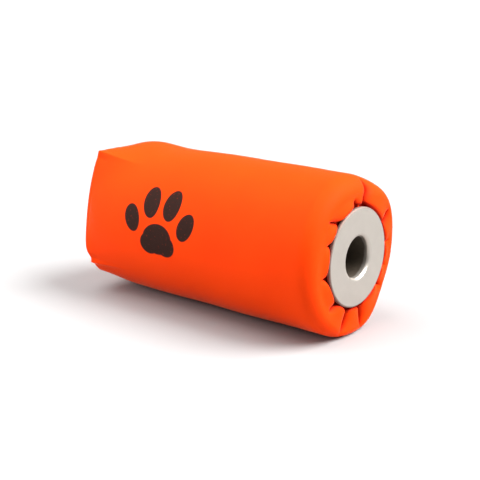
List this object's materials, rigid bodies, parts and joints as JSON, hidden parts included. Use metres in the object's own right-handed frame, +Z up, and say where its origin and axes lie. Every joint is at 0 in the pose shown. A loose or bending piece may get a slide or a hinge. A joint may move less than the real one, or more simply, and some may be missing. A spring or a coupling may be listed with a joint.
{
  "type": "training bumper",
  "caption": "Stuffed round nylon retrieving bumper that slides onto a launcher spigot: flanged metal tube with a blind bore, gathered cloth mouth and a boxed square far end.",
  "frame": {"origin": "on the surface that the bumper lies on, under the middle of its length and width", "axes": "+X along the tube, out of its mouth; +Z up, away from the surface; +Y completes the right-handed frame"},
  "size_m": [0.1524, 0.0762, 0.0757],
  "materials": {
    "orange_nylon": "coarse woven nylon with a dull coating",
    "orange_tape": "woven binding tape",
    "orange_thread": "bonded nylon thread",
    "white_cord": "braided nylon cord",
    "grey_foam": "closed-cell foam",
    "white_felt": "needled felt padding",
    "flange_metal": "satin turned",
    "tube_metal": "drawn",
    "plug_metal": "turned",
    "steel_pin": "ground",
    "zinc_steel": "bright zinc plated",
    "black_steel": "black oxide",
    "black_rubber": "moulded, dull",
    "hard_plastic": "machined sheet"
  },
  "bodies": {
    "root": {"mouth_flange": "flange_metal", "launch_tube": "tube_metal", "tube_plug": "plug_metal", "plug_pin": "steel_pin", "plug_o_ring": "black_rubber", "buffer_disc": "black_rubber", "gather_cord": "white_cord", "backing_washer": "zinc_steel", "ring_nut": "plug_metal", "set_screws": "black_steel", "thrust_disc": "hard_plastic", "thrust_washer": "zinc_steel", "lock_washer": "zinc_steel", "thrust_bolt": "zinc_steel", "cover": "orange_nylon", "side_seam_tape": "orange_tape", "side_seam_stitches": "orange_thread", "end_seam_tape": "orange_tape", "end_seam_stitches": "orange_thread", "box_seam_tapes": "orange_tape", "foam_core": "grey_foam", "padding_wrap": "white_felt", "foam_end_block": "grey_foam"}
  },
  "joints": []
}
